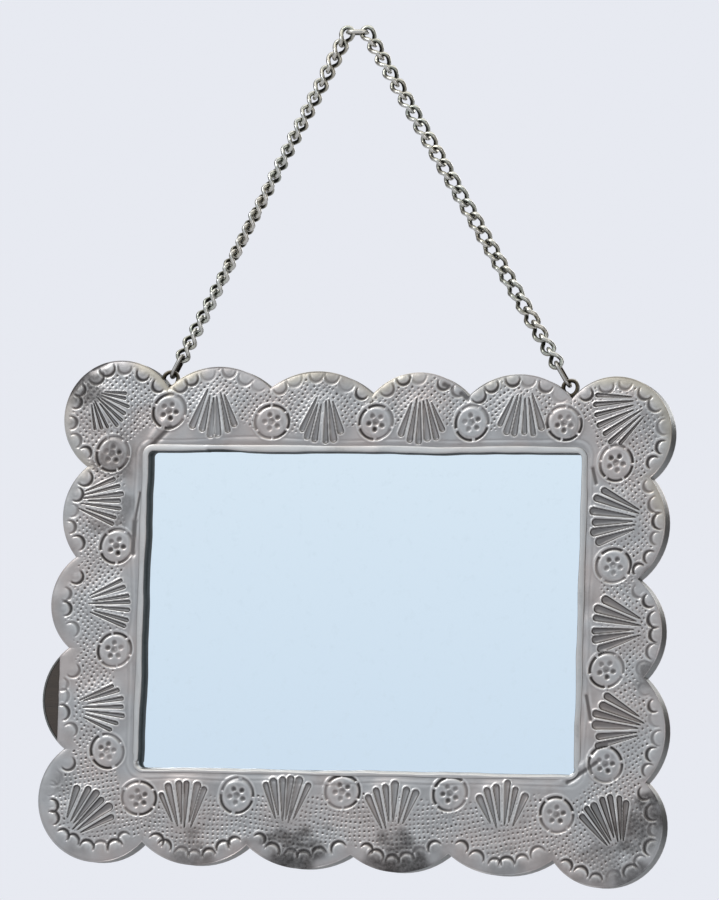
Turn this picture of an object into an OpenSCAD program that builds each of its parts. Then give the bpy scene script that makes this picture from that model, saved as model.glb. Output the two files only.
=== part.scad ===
// Small wall mirror in an embossed silver frame, hung from a nail by a twisted-link chain.
// X runs to the viewer's right, -Y faces the viewer and +Z is up.
// The origin is where the apex link of the chain rests on the nail.

/* [Mirror opening] */
// Width of the opening that shows the mirror
sight_w = 154; // [120:0.5:190]
// Height of the opening that shows the mirror
sight_h = 109.4; // [90:0.1:150]
// Radius of the opening's corners
sight_corner = 1.7; // [0.5:0.1:5]

/* [Lobed outline] */
// From the opening out to the notches at the left and right
border_side = 25; // [22:0.25:40]
// From the opening out to the notches at the top and bottom
border_top = 24.8; // [20:0.1:40]
// Lobes along the top, and along the bottom
lobes_across = 4; // [2:1:6]
// Lobes along each side
lobes_down = 3; // [2:1:5]
// Level run of a corner lobe, from the last top notch to the side notches
corner_run_x = 30; // [24:0.5:36]
// Upright run of a corner lobe, from the last side notch to the top notches
corner_run_z = 28.5; // [24:0.5:34]
// How far a lobe swells past the line between its notches
lobe_swell = 7.2; // [5:0.1:10]
// How far a corner lobe swells past the line between its notches
corner_swell = 23.3; // [18:0.1:26]
// How far the hand-cut outline, opening and motifs stray from an even layout, 1 as on the original
hand_stray = 1; // [0:0.1:1.2]
// Depth of metal worn off the lowest lobe of the left side
worn_depth = 5.8; // [0:0.1:7]

/* [Frame build] */
// Depth of the frame from its front sheet to its back plate
body_depth = 8; // [7:0.5:14]
// Thickness of the silver sheet
sheet_t = 0.6; // [0.4:0.05:1]
// Gap round the wooden core inside the rim band
core_gap = 0.2; // [0.1:0.05:0.5]
// From the front sheet's face back to the mirror
mirror_depth = 4; // [3:0.1:4.4]
// Thickness of the mirror glass
glass_t = 2; // [1.5:0.1:2.4]
// How far the glass reaches behind the edge of the opening
glass_lap = 2; // [1.5:0.1:4]
// Gap round the glass and its packing card in the rebate
glass_gap = 0.25; // [0.1:0.05:0.5]

/* [Sight bezel] */
// Thickness of the bezel's wall
bezel_wall = 0.6; // [0.4:0.05:0.9]
// Width of the lip that laps the front sheet
lip_w = 1.7; // [0.5:0.1:2]
// Thickness of that lip
lip_t = 0.5; // [0.3:0.05:1]
// Gap between the bezel and what it passes through
bezel_gap = 0.1; // [0.05:0.05:0.2]

/* [Embossing] */
// From the opening out to the line of motifs at the left and right
motif_side = 12; // [11:0.25:20]
// From the opening out to the line of motifs at the top and bottom
motif_top = 10.8; // [10:0.1:18]
// Length of a shell motif, from its hinge to the ends of its ribs
shell_l = 17; // [12:0.5:18]
// Height of a shell's ribs above the sheet
shell_h = 0.7; // [0.5:0.1:1.5]
// Ribs on a shell
shell_ribs = 7; // [5:1:9]
// Angle between the first and the last rib of a shell
shell_spread = 42; // [30:1:50]
// From the hinge back to the point that the ribs spread from
rib_origin = 7; // [5:0.5:10]
// Width of a rib at the hinge
rib_hinge_w = 0.5; // [0.3:0.05:0.6]
// Width of a rib at its outer end
rib_end_w = 1.1; // [0.6:0.1:1.5]
// Radius of a rosette
rosette_r = 6.2; // [4:0.1:6.4]
// Height of a rosette above the sheet
rosette_h = 0.4; // [0.3:0.1:1]

/* [Back pins] */
// Radius of a pin's head
pin_head_r = 1.2; // [0.9:0.1:2]
// Radius of a pin's shank
pin_r = 0.5; // [0.3:0.05:0.8]
// Length of a pin's shank in the core
pin_l = 4; // [2:0.25:6]
// Gap round the head and the shank
pin_gap = 0.05; // [0.02:0.01:0.1]

/* [Chain] */
// Thickness of the links' wire
wire_d = 1.5; // [1.2:0.05:1.6]
// Radius of a link's end bends, to the middle of the wire
bend_r = 2.1; // [2:0.05:2.4]
// Play between two links' wires where they meet
link_play = 0.25; // [0.2:0.01:0.35]
// Left-hand twist of a link from its upper to its lower bend
link_twist = 84; // [80:1:90]
// Links on each side of the apex link
links_per_side = 26; // [20:1:30]
// Pitch of the apex link
apex_pitch = 5.1; // [5:0.05:6]
// Pitch of the left strand's links
left_pitch = 5.1; // [5:0.05:6]
// Pitch of the right strand's links
right_pitch = 5.45; // [5:0.05:6]
// Pitch of the plain end link on the left
left_end_pitch = 6.5; // [6:0.1:9]
// Pitch of the plain end link on the right
right_end_pitch = 7.7; // [6:0.1:9]

/* [Hanging loops] */
// Radius of a loop, to the middle of its wire
loop_r = 2.6; // [2.5:0.05:3]
// Height of a loop's centre above its notch
loop_rise = 3.6; // [3.4:0.05:5]
// Thickness of the foot that carries a loop
foot_t = 1.2; // [0.8:0.1:1.5]
// Gap between a foot and the rim band under it
foot_gap = 0.05; // [0.02:0.01:0.1]

/* [Hidden] */
$fn = 48;

silver = "#a8a4a5";
dark_silver = "#6f6b6b";
brassy = "#7d7360";
wood = "#4b3a2c";
card = "#8d7a5c";
glass = "#d4e4f1";

// Depths, front to back
front_y = -body_depth/2;
core_front_y = front_y + sheet_t;
mirror_y = front_y + mirror_depth;
packing_y = mirror_y + glass_t;
core_back_y = body_depth/2 - sheet_t;
back_y = body_depth/2;
cut_past = 1;

// Hand-made strays in mm, as [right, up], clockwise from the top left
notch_strays = [[[0.5, -2], [1, -2], [1.5, -4], [-0.5, -4.5], [0, -5]],
                [[-2, -3.5], [-5.5, -4], [-2.5, -3.5], [-1, -5]],
                [[-2.5, -3.5], [-3, -2], [-1.5, -3], [-2.5, -0.5], [-4, 0]],
                [[-3, 3], [-2.5, 4], [-1, 1.5], [2, -1]]];
swell_strays = [[0.3, -0.2, 0.8, 0.8], [0.1, 0.2, 0.1], [-0.9, -1, -0.8, 0.3], [1.6, 0.5, -0.5]];
corner_swell_strays = [-1.6, -0.3, 0.7, 1.2];
rosette_strays = [[[1, 4], [2, 0.5], [3, 0.5], [1, 0.5], [-2.5, 0.5]],
                  [[-1, 1.5], [-1, 0.5], [-2.5, -1], [-2, 1]],
                  [[-1.5, -2], [-3, 4.5], [-5, 4.5], [-6.5, 2.5], [-5.5, 1]],
                  [[-0.5, 2.5], [1, 3.5], [0.5, 5.5], [-2, 3.5]]];
shell_strays = [[[-0.5, 3], [2, 0.5], [1.5, 1], [0.5, 3]],
                [[-1, 0], [0, -3], [1.5, -2]],
                [[-2.5, 1], [-5.5, 0.5], [-7, 2], [-7.5, -0.5]],
                [[-2.5, 0.5], [-0.5, 2.5], [-5, 4]]];
corner_shell_strays = [[-0.5, 3], [-0.5, -3.5], [-7, -4], [-3.5, 4.5]];

// Degrees by which the shells turn from facing square to the opening, or along the corner's diagonal
shell_tilts = [[0, -4, 3, -4], [-4, -3, -8], [2, 2, -2, 2], [1, 2, 0]];
corner_shell_tilts = [-22, -25, 4, 4];
loop_strays = [[-0.3, -0.2], [-1.4, 0.3]];
opening_stray = [-1.1, 1];

function stray(list, i) = hand_stray*list[i % len(list)];
function unit(v) = v/norm(v);
function spot(p) = [p.x, 0, p.y];

// Middle of the opening, in X and Z from the middle of the outline
opening_at = hand_stray*opening_stray;

// Notches, lobes and motifs, in X and Z from the middle of the outline
notch_x = sight_w/2 + border_side;
notch_z = sight_h/2 + border_top;
motif_x = sight_w/2 + motif_side;
motif_z = sight_h/2 + motif_top;
lobe_w = 2*(notch_x - corner_run_x)/lobes_across;
lobe_h = 2*(notch_z - corner_run_z)/lobes_down;
reach_x = notch_x - corner_run_x;
reach_z = notch_z - corner_run_z;

// Places in line with the notches, on a rectangle of half sizes x and z
function notch_places(x, z, strays) = concat(
    [for (i = [0:lobes_across]) [i*lobe_w - reach_x, z] + stray(strays[0], i)],
    [for (i = [0:lobes_down]) [x, reach_z - i*lobe_h] + stray(strays[1], i)],
    [for (i = [0:lobes_across]) [reach_x - i*lobe_w, -z] + stray(strays[2], i)],
    [for (i = [0:lobes_down]) [-x, i*lobe_h - reach_z] + stray(strays[3], i)]);

// Places in line with the lobes, and one at each corner of that rectangle
function lobe_places(x, z, strays, corner_strays) = concat(
    [for (i = [0:lobes_across - 1]) [(i + 0.5)*lobe_w - reach_x, z] + stray(strays[0], i)],
    [[x, z] + stray(corner_strays, 0)],
    [for (i = [0:lobes_down - 1]) [x, reach_z - (i + 0.5)*lobe_h] + stray(strays[1], i)],
    [[x, -z] + stray(corner_strays, 1)],
    [for (i = [0:lobes_across - 1]) [reach_x - (i + 0.5)*lobe_w, -z] + stray(strays[2], i)],
    [[-x, -z] + stray(corner_strays, 2)],
    [for (i = [0:lobes_down - 1]) [-x, (i + 0.5)*lobe_h - reach_z] + stray(strays[3], i)],
    [[-x, z] + stray(corner_strays, 3)]);

// Ways that the shells face, in degrees from +X
function side_turns(side, lobes, facing) = [for (i = [0:lobes - 1]) facing + stray(shell_tilts[side], i)];
function corner_turn(i, facing) = [facing + stray(corner_shell_tilts, i)];

function side_swells(side, lobes) =
    [for (i = [0:lobes - 1]) lobe_swell + stray(swell_strays[side], i)];
function corner(i) = [corner_swell + stray(corner_swell_strays, i)];

notches = notch_places(notch_x, notch_z, notch_strays);
swells = concat(side_swells(0, lobes_across), corner(0), side_swells(1, lobes_down), corner(1),
                side_swells(2, lobes_across), corner(2), side_swells(3, lobes_down), corner(3));
rosettes = notch_places(motif_x, motif_z, rosette_strays);
shells = lobe_places(motif_x, motif_z, shell_strays, corner_shell_strays);
shell_turns = concat(side_turns(0, lobes_across, -90), corner_turn(0, -135),
                     side_turns(1, lobes_down, 180), corner_turn(1, 135),
                     side_turns(2, lobes_across, 90), corner_turn(2, 45),
                     side_turns(3, lobes_down, 0), corner_turn(3, -45));

// How much shorter the outer ribs of a shell are, and how far behind their roots its hinge joins them
outer_rib_cut = 1.7;
hinge_back = 1;

// Depth of the plain heart's corners inside the notches
heart_inset = 2;

// The worn lobe is the first above the bottom left corner
worn_lobe = 2*lobes_across + lobes_down + 3;
worn_from = notches[worn_lobe];
worn_to = notches[worn_lobe + 1];
worn_x = (worn_from.x + worn_to.x)/2 - swells[worn_lobe] + worn_depth;

// Opening through the front sheet and the core, and the rebate behind it
hole_w = sight_w + 2*(bezel_wall + bezel_gap);
hole_h = sight_h + 2*(bezel_wall + bezel_gap);
hole_corner = sight_corner + bezel_wall + bezel_gap;
glass_w = sight_w + 2*glass_lap;
glass_h = sight_h + 2*glass_lap;
lip_reach = lip_w + bezel_wall;
lip_room = lip_reach + bezel_gap;

// Pins behind the corners, and along the top, bottom and sides
pin_places = concat(
    [for (x = [-1, 1], z = [-1, 1]) [x*motif_x, z*motif_z]],
    [for (x = [-1, 1], z = [-1, 1]) [x*motif_x/3, z*motif_z]],
    [for (x = [-1, 1]) [x*motif_x, 0]]);

// Chain, in X and Z from the nail: 0 is the left strand and 1 is the right strand
wire_r = wire_d/2;
hook = wire_r + link_play/2;
pitches = [left_pitch, right_pitch];
end_pitches = [left_end_pitch, right_end_pitch];
apex_ends = [for (s = [-1, 1]) [s*(apex_pitch/2 + hook), wire_r]];
loop_notches = [0, lobes_across];
loops = [for (s = [0, 1]) notches[loop_notches[s]] + [0, loop_rise] + stray(loop_strays, s)];
reaches = [for (s = [0, 1]) (links_per_side - 1)*pitches[s] + end_pitches[s] + loop_r - 2*hook];

// The two taut strands and the level frame close a triangle, which places the frame
pivot_a = apex_ends[0];
pivot_b = apex_ends[1] - (loops[1] - loops[0]);
pivot_gap = norm(pivot_b - pivot_a);
pivot_way = unit(pivot_b - pivot_a);
foot_run = (reaches[0]*reaches[0] - reaches[1]*reaches[1] + pivot_gap*pivot_gap)/(2*pivot_gap);
foot_drop = sqrt(reaches[0]*reaches[0] - foot_run*foot_run);
left_loop = pivot_a + pivot_way*foot_run + [-pivot_way.y, pivot_way.x]*foot_drop;
frame_at = left_loop - loops[0];

// Way down each strand, and where link k hangs from the one above it
ways = [for (s = [0, 1]) unit(frame_at + loops[s] - apex_ends[s])];
function hang_point(s, k) = apex_ends[s] + ways[s]*((k - 1)*pitches[s] - hook);
function lean(s) = -atan2(ways[s].x, -ways[s].y);

// Turn of a link about its strand, by its share of the way down the strand. The first upper bend and
// the last lower one stand square to the apex link and the end link.
first_turn = link_twist/2 - 180;
turns = [[[0, first_turn], [0.2, -110], [0.45, -88], [1, -link_twist/2]],
         [[0, first_turn], [0.1, -124], [0.25, -143], [0.75, -172], [1, -link_twist/2 - 180]]];
function link_turn(s, k) = lookup((k - 1)/(links_per_side - 2), turns[s]);

// Link nodes, numbered down from the apex link
function link_node(k) = str("chain_links_", k < 10 ? "0" : "", k);

// A drawing in X and Z made solid from depth y0 to depth y1
module slab(y0, y1) {
    translate([0, y1, 0]) rotate([90, 0, 0]) linear_extrude(y1 - y0) children();
}

// The frame's pieces are drawn from the middle of the outline
module hung() {
    translate(spot(frame_at)) children();
}

// What goes through or behind the opening is drawn from the opening's own middle
module at_opening() {
    translate(spot(opening_at)) children();
}

// Rectangle with rounded corners
module pane(w, h, r) {
    square([w - 2*r, h], center = true);
    square([w, h - 2*r], center = true);
    for (x = [-1, 1], z = [-1, 1])
        translate([x*(w/2 - r), z*(h/2 - r)]) circle(r = r);
}

// Circle of the lobe after notch i, drawn in by inset
module lobe(i, inset) {
    from = notches[i];
    to = notches[(i + 1) % len(notches)];
    chord = norm(to - from);
    radius = (chord*chord/4 + swells[i]*swells[i])/(2*swells[i]);
    along = (to - from)/chord;
    translate((from + to)/2 + [-along.y, along.x]*(swells[i] - radius)) circle(r = radius - inset);
}

// Lobed outline drawn in by inset, solid from depth y0 to depth y1: the lobes round a plain heart
module outline(y0, y1, inset) {
    slab(y0, y1) polygon([for (p = notches) p - unit(p)*(heart_inset + inset)]);
    for (i = [0:len(notches) - 1]) slab(y0, y1) lobe(i, inset);
}

// Low dome of radius r and height h, raised from the front sheet
module dome(at, r, h) {
    ball = (r*r + h*h)/(2*h);
    root = sheet_t/2;
    translate([at.x, front_y, at.y]) rotate([90, 0, 0]) intersection() {
        translate([0, 0, h - ball]) sphere(r = ball);
        translate([0, 0, -root]) cylinder(r = r, h = h + root);
    }
}

// Ends of rib i of a shell, with the hinge towards the origin
function rib_edge(i, far, width, side) =
    let (share = 2*i/(shell_ribs - 1) - 1, turn = share*shell_spread/2,
         along = far - (far > rib_origin ? outer_rib_cut*share*share : 0))
    [along*cos(turn) - side*width/2*sin(turn), along*sin(turn) + side*width/2*cos(turn)];

// Shell i: a fan of flat ribs, cut short where it would meet the bezel's lip
module shell(i) {
    tip = rib_origin + shell_l;
    fan = concat([[rib_origin - hinge_back, 0]],
        [for (k = [0:shell_ribs - 1], end = [0:3])
            end == 0 ? rib_edge(k, rib_origin, rib_hinge_w, -1)
            : end == 1 ? rib_edge(k, tip, rib_end_w, -1)
            : end == 2 ? rib_edge(k, tip, rib_end_w, 1)
            : rib_edge(k, rib_origin, rib_hinge_w, 1)]);
    slab(front_y - shell_h, front_y + sheet_t/2) difference() {
        translate(shells[i]) rotate(shell_turns[i]) translate([-rib_origin - shell_l/2, 0]) polygon(fan);
        translate(opening_at) square([sight_w + 2*lip_room, sight_h + 2*lip_room], center = true);
    }
}

module front_frame() hung() color(silver) difference() {
    union() {
        outline(front_y, core_front_y, 0);
        for (i = [0:len(shells) - 1]) shell(i);
        for (p = rosettes) dome(p, rosette_r, rosette_h);
    }
    at_opening() slab(front_y - cut_past, core_front_y + cut_past) pane(hole_w, hole_h, hole_corner);
    slab(front_y - cut_past, core_front_y + cut_past)
        translate([worn_x - lobe_w, worn_from.y]) square([lobe_w, worn_to.y - worn_from.y]);
}

module rim_band() hung() color(silver) difference() {
    outline(core_front_y, core_back_y, 0);
    outline(core_front_y - cut_past, core_back_y + cut_past, sheet_t);
}

module sight_bezel() hung() at_opening() color(silver) difference() {
    wall_w = sight_w + 2*bezel_wall;
    wall_h = sight_h + 2*bezel_wall;
    union() {
        slab(front_y - lip_t/2, mirror_y) pane(wall_w, wall_h, sight_corner + bezel_wall);
        slab(front_y - lip_t, front_y)
            pane(sight_w + 2*lip_reach, sight_h + 2*lip_reach, sight_corner + lip_reach);
    }
    slab(front_y - lip_t - cut_past, mirror_y + cut_past) pane(sight_w, sight_h, sight_corner);
}

module core_board() hung() color(wood) difference() {
    outline(core_front_y, core_back_y, sheet_t + core_gap);
    at_opening() slab(core_front_y - cut_past, core_back_y + cut_past) pane(hole_w, hole_h, hole_corner);
    at_opening() slab(mirror_y, core_back_y + cut_past)
        square([glass_w + 2*glass_gap, glass_h + 2*glass_gap], center = true);
    for (p = pin_places)
        slab(core_back_y - pin_l - pin_gap, core_back_y + cut_past)
            translate(p) circle(r = pin_r + pin_gap);
}

module mirror_glass() hung() at_opening() color(glass) slab(mirror_y, packing_y)
    square([glass_w, glass_h], center = true);

module packing_card() hung() at_opening() color(card) slab(packing_y, core_back_y)
    square([glass_w, glass_h], center = true);

module back_plate() hung() color(silver) difference() {
    outline(core_back_y, back_y, 0);
    for (p = pin_places)
        slab(core_back_y - cut_past, back_y + cut_past) translate(p) circle(r = pin_head_r + pin_gap);
}

module back_pins() hung() color(dark_silver) for (p = pin_places) {
    slab(core_back_y, back_y) translate(p) circle(r = pin_head_r);
    slab(core_back_y - pin_l, core_back_y + sheet_t/2) translate(p) circle(r = pin_r);
}

// Loop s stands in its notch on a foot that fits between the two lobes
module loop(s) hung() color(brassy) difference() {
    at = loops[s];
    notch = loop_notches[s];
    below = loop_rise + cut_past;
    union() {
        translate(spot(at)) rotate([90, 0, 0]) rotate_extrude() translate([loop_r, 0]) circle(r = wire_r);
        slab(-foot_t/2, foot_t/2) translate(at) difference() {
            translate([-loop_r, -below]) square([2*loop_r, below]);
            circle(r = loop_r);
        }
    }
    for (i = [notch, notch + len(notches) - 1])
        slab(front_y, back_y) lobe(i % len(notches), -foot_gap);
}

module loop_left() loop(0);
module loop_right() loop(1);

// Half ring of wire, standing on z = 0
module bend() {
    rotate([90, 0, 0]) rotate_extrude(angle = 180) translate([bend_r, 0]) circle(r = wire_r);
}

// Straight wire from p to q
module rod(p, q) {
    v = q - p;
    translate(p) rotate([0, acos(v.z/norm(v)), atan2(v.y, v.x)]) cylinder(h = norm(v), r = wire_r);
}

// Link that hangs from the origin and carries the next one at -pitch. When it is twisted on the way
// down, its wires bow out to keep the width of its bends.
module link(pitch, twist) {
    top_z = hook - bend_r;
    low_z = -pitch - top_z;
    joint_r = 1.05*wire_r;
    translate([0, 0, top_z]) rotate([0, 0, -twist/2]) bend();
    translate([0, 0, low_z]) rotate([180, 0, twist/2]) bend();
    for (side = [-1, 1]) {
        top = [side*bend_r*cos(twist/2), -side*bend_r*sin(twist/2), top_z];
        low = [side*bend_r*cos(twist/2), side*bend_r*sin(twist/2), low_z];
        middle = [side*bend_r, 0, -pitch/2];
        joints = twist == 0 ? [top, low] : [top, middle, low];
        for (i = [1:len(joints) - 1]) rod(joints[i - 1], joints[i]);
        for (p = joints) translate(p) sphere(r = joint_r);
    }
}

module apex_link() color(silver)
    translate([apex_pitch/2, 0, wire_r]) rotate([0, 90, 0]) rotate([0, 0, 90]) link(apex_pitch, 0);

// Link k of both strands: the last one is plain and stands across the loop
module chain_links(k) {
    last = k == links_per_side;
    for (s = [0, 1]) color(last ? brassy : silver)
        translate(spot(hang_point(s, k))) rotate([0, lean(s), 0]) rotate([0, 0, last ? 90 : link_turn(s, k)])
            link(last ? end_pitches[s] : pitches[s], last ? 0 : link_twist);
}

apex_link();
for (k = [1:links_per_side])
    chain_links(k);
loop_left();
loop_right();
front_frame();
rim_band();
sight_bezel();
core_board();
mirror_glass();
packing_card();
back_plate();
back_pins();
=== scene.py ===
import bpy
import numpy as np
from mathutils import Matrix, Vector


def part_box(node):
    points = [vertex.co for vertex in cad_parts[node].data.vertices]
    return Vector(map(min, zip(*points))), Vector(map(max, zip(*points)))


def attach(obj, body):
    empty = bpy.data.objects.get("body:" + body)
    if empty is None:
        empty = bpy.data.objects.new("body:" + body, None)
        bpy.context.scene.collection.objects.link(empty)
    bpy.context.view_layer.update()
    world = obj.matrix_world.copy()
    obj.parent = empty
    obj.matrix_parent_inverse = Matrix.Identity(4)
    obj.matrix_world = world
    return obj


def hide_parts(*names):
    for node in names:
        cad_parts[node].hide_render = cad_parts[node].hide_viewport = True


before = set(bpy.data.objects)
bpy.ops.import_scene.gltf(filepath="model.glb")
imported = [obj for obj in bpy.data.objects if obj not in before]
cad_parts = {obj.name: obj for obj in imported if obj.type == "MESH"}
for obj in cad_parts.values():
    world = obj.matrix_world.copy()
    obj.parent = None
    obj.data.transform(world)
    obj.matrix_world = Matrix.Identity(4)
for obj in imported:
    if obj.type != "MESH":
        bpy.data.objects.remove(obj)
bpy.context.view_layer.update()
MM = 0.001

# Camera
# A long lens 2.5 m away, 15 degrees to the right of the mirror and 5 degrees below it. The roll gives
# the picture's tilt: the real mirror hangs askew, because its nail is not over its middle.
camera_turn, camera_rise, camera_roll = np.radians([15.0, -5.0, 1.69])
camera_distance = 2.5
camera_target = np.array([5.1, 0.0, -144.3])*MM
level_back = np.array([np.sin(camera_turn), -np.cos(camera_turn), 0])
backward = np.cos(camera_rise)*level_back + [0, 0, np.sin(camera_rise)]
level_right = np.array([np.cos(camera_turn), np.sin(camera_turn), 0])
level_up = np.cross(backward, level_right)
rolled_right = np.cos(camera_roll)*level_right + np.sin(camera_roll)*level_up
rolled_up = np.cos(camera_roll)*level_up - np.sin(camera_roll)*level_right
camera = bpy.data.objects.new("camera", bpy.data.cameras.new("camera"))
camera.data.lens = 290.7
camera.data.sensor_width = 36
camera.data.clip_end = 20
camera_pose = np.eye(4)
camera_pose[:3, :3] = np.c_[rolled_right, rolled_up, backward]
camera_pose[:3, 3] = camera_target + backward*camera_distance
camera.matrix_world = Matrix(camera_pose.tolist())
bpy.context.scene.collection.objects.link(camera)
bpy.context.scene.camera = camera
bpy.context.scene.view_settings.view_transform = "Standard"


# Studio
# A pale floor well below the mirror, clear from underneath, three soft lamps and an even world. Bright metal
# and the glass show a pale screen at the viewer's left, grey round it, and a soft glow above.
def mesh_object(name, points, faces, smooth=True):
    """Object of the given points, in metres, and faces, at the origin."""
    mesh = bpy.data.meshes.new(name)
    mesh.from_pydata(np.asarray(points).tolist(), [], np.asarray(faces).tolist())
    mesh.polygons.foreach_set("use_smooth", [smooth]*len(mesh.polygons))
    piece = bpy.data.objects.new(name, mesh)
    bpy.context.scene.collection.objects.link(piece)
    return piece


def add(tree, kind, **values):
    """Node of a kind in a tree. A value goes to the socket of its name, with _ for a space, or else to the
    node itself."""
    node = tree.nodes.new(kind)
    for name, value in values.items():
        socket = node.inputs.get(name.replace("_", " "))
        if socket is None:
            setattr(node, name, value)
        elif isinstance(value, bpy.types.NodeSocket):
            tree.links.new(value, socket)
        else:
            socket.default_value = value
    return node


def feed(tree, sockets, values):
    """Links or sets each socket to its value."""
    for socket, value in zip(sockets, values):
        if isinstance(value, bpy.types.NodeSocket):
            tree.links.new(value, socket)
        else:
            socket.default_value = value


def maths(tree, operation, a, b=0.0, c=0.0, clamp=False):
    """Output of a Math node on a, b and c, each a number or a socket."""
    node = tree.nodes.new("ShaderNodeMath")
    node.operation, node.use_clamp = operation, clamp
    feed(tree, node.inputs, (a, b, c))
    return node.outputs[0]


def blend_colors(tree, factor, a, b, blend="MIX"):
    """Output of a colour mix from a, at factor 0, to b, at factor 1."""
    node = tree.nodes.new("ShaderNodeMix")
    node.data_type, node.blend_type = "RGBA", blend
    feed(tree, (node.inputs[0], node.inputs[6], node.inputs[7]), (factor, a, b))
    return node.outputs[2]


def ramp(tree, value, low, high, start=0.0, end=1.0, curve="LINEAR"):
    """Value mapped from low and high to start and end, and held there beyond them."""
    node = add(tree, "ShaderNodeMapRange", interpolation_type=curve, Value=value, From_Min=low, From_Max=high,
               To_Min=start, To_Max=end)
    return node.outputs["Result"]


def new_material(name):
    """Empty material, with its node tree and its Principled BSDF."""
    material = bpy.data.materials.new(name)
    material.use_nodes = True
    return material, material.node_tree, material.node_tree.nodes["Principled BSDF"]


floor_z, floor_half = -0.42, 6.0
floor_corners = [(x*floor_half, y*floor_half, floor_z) for x, y in ((-1, -1), (1, -1), (1, 1), (-1, 1))]
floor = mesh_object("floor", floor_corners, [(0, 1, 2, 3)])
floor_material, tree, shader = new_material("pale_floor")
shader.inputs["Base Color"].default_value = (0.80, 0.82, 0.86, 1)
shader.inputs["Roughness"].default_value = 0.9
underside = tree.nodes.new("ShaderNodeNewGeometry").outputs["Backfacing"]
see_through = add(tree, "ShaderNodeMixShader", Fac=underside)
tree.links.new(shader.outputs[0], see_through.inputs[1])
tree.links.new(tree.nodes.new("ShaderNodeBsdfTransparent").outputs[0], see_through.inputs[2])
tree.links.new(see_through.outputs[0], tree.nodes["Material Output"].inputs["Surface"])
floor.data.materials.append(floor_material)

world = bpy.data.worlds.new("studio")
world.use_nodes = True
bpy.context.scene.world = world
tree = world.node_tree
ray = tree.nodes.new("ShaderNodeLightPath").outputs
ray_way = tree.nodes.new("ShaderNodeTexCoord").outputs["Generated"]
direction = add(tree, "ShaderNodeSeparateXYZ", Vector=ray_way).outputs
frontward = maths(tree, "MULTIPLY", direction["Y"], -0.94)
leftward = maths(tree, "MULTIPLY_ADD", direction["X"], -0.32, frontward)
on_screen = ramp(tree, leftward, 0.38, 0.95, curve="SMOOTHSTEP")
above = ramp(tree, direction["Z"], 0.5, 0.92, curve="SMOOTHSTEP")
surround = blend_colors(tree, above, (0.14, 0.138, 0.14, 1), (1.5, 1.5, 1.45, 1))
mirrored = blend_colors(tree, on_screen, surround, (0.75, 0.83, 0.90, 1))
glossy = maths(tree, "MAXIMUM", ray["Is Glossy Ray"], ray["Is Transmission Ray"])
lit = blend_colors(tree, glossy, (0.46, 0.46, 0.47, 1), mirrored)
backdrop = blend_colors(tree, ray["Is Camera Ray"], lit, (0.80, 0.82, 0.88, 1))
tree.links.new(backdrop, tree.nodes["Background"].inputs["Color"])


def lamp(name, place, size, power, aim=(0, 0, -0.2)):
    """Square area lamp at a place, turned to face aim."""
    light = bpy.data.lights.new(name, "AREA")
    light.size, light.energy = size, power
    holder = bpy.data.objects.new(name, light)
    holder.location = place
    holder.rotation_mode = "QUATERNION"
    holder.rotation_quaternion = (Vector(aim) - Vector(place)).to_track_quat("-Z", "Y")
    bpy.context.scene.collection.objects.link(holder)


lamp("key", (-0.75, -1.0, 0.65), 0.5, 6.0)
lamp("fill", (1.1, -0.9, -0.1), 0.8, 2.5)
lamp("back", (0.5, 1.2, 0.5), 0.8, 5.0)


# Front sheet
# One sheet of silver, cut by hand to a lobed outline and punched from both sides: a shell under each lobe,
# a rosette under each notch, crescents along the edge and dots between them. Its edge laps the rim band.

# Sizes are in mm, and places in X and Z from the middle of the outline, which the glass behind gives
glass_low, glass_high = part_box("mirror_glass")
opening_at = np.array([-1.1, 1.0])
middle = np.array([glass_low[0] + glass_high[0], glass_low[2] + glass_high[2]])/2/MM - opening_at
front_y, sheet = -4.0, 0.6
sight, sight_corner = np.array([154, 109.4]), 1.7
bezel_room = 0.7
hole_half, hole_corner = sight/2 + bezel_room, sight_corner + bezel_room
border, motif_border, corner_run = np.array([25, 24.8]), np.array([12, 10.8]), np.array([30, 28.5])
notch_half, motif_half = sight/2 + border, sight/2 + motif_border
reach = notch_half - corner_run
lobes_across, lobes_down, lobe_swell, corner_swell = 4, 3, 7.2, 23.3
side_lobes = (lobes_across, lobes_down)*2

# How far the hand work strays from an even layout, a row for each side, clockwise from the top
notch_strays = [[(0.5, -2), (1, -2), (1.5, -4), (-0.5, -4.5), (0, -5)],
                [(-2, -3.5), (-5.5, -4), (-2.5, -3.5), (-1, -5)],
                [(-2.5, -3.5), (-3, -2), (-1.5, -3), (-2.5, -0.5), (-4, 0)],
                [(-3, 3), (-2.5, 4), (-1, 1.5), (2, -1)]]
swell_strays = [[0.3, -0.2, 0.8, 0.8], [0.1, 0.2, 0.1], [-0.9, -1, -0.8, 0.3], [1.6, 0.5, -0.5]]
corner_swell_strays = [-1.6, -0.3, 0.7, 1.2]
rosette_strays = [[(1, 4), (2, 0.5), (3, 0.5), (1, 0.5), (-2.5, 0.5)],
                  [(-1, 1.5), (-1, 0.5), (-2.5, -1), (-2, 1)],
                  [(-1.5, -2), (-3, 4.5), (-5, 4.5), (-6.5, 2.5), (-5.5, 1)],
                  [(-0.5, 2.5), (1, 3.5), (0.5, 5.5), (-2, 3.5)]]
shell_strays = [[(-0.5, 3), (2, 0.5), (1.5, 1), (0.5, 3)], [(-1, 0), (0, -3), (1.5, -2)],
                [(-2.5, 1), (-5.5, 0.5), (-7, 2), (-7.5, -0.5)], [(-2.5, 0.5), (-0.5, 2.5), (-5, 4)]]
corner_shell_strays = [(-0.5, 3), (-0.5, -3.5), (-7, -4), (-3.5, 4.5)]
shell_tilts = [[0, -4, 3, -4], [-4, -3, -8], [2, 2, -2, 2], [1, 2, 0]]
corner_tilts = [-22, -25, 4, 4]
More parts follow.
